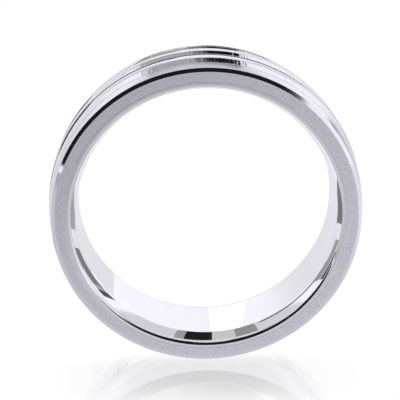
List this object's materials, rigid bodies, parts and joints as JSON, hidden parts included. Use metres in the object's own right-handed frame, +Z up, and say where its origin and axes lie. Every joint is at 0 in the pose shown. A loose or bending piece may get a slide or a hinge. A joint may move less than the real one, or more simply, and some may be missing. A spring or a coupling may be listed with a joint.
{
  "type": "wedding band",
  "caption": "Domed wedding band of rings stacked on a comfort-fit sleeve: cross-brushed ribs, polished grooves and satin side faces.",
  "frame": {"origin": "centre of the finger hole, midway between the two side faces", "axes": "the finger hole runs along Y, the front side face looks along -Y, and +Z is up with the band on its edge"},
  "size_m": [0.024, 0.007, 0.024],
  "materials": {
    "polished_metal": "mirror polished",
    "satin_metal": "satin side face, polished bevel and shoulder",
    "cross_brushed_metal": "brushed across the band"
  },
  "bodies": {
    "root": {"comfort_fit_sleeve": "polished_metal", "front_rim": "satin_metal", "rear_rim": "satin_metal", "front_rib": "cross_brushed_metal", "centre_rib": "cross_brushed_metal", "rear_rib": "cross_brushed_metal", "front_spacer": "polished_metal", "rear_spacer": "polished_metal"}
  },
  "joints": []
}
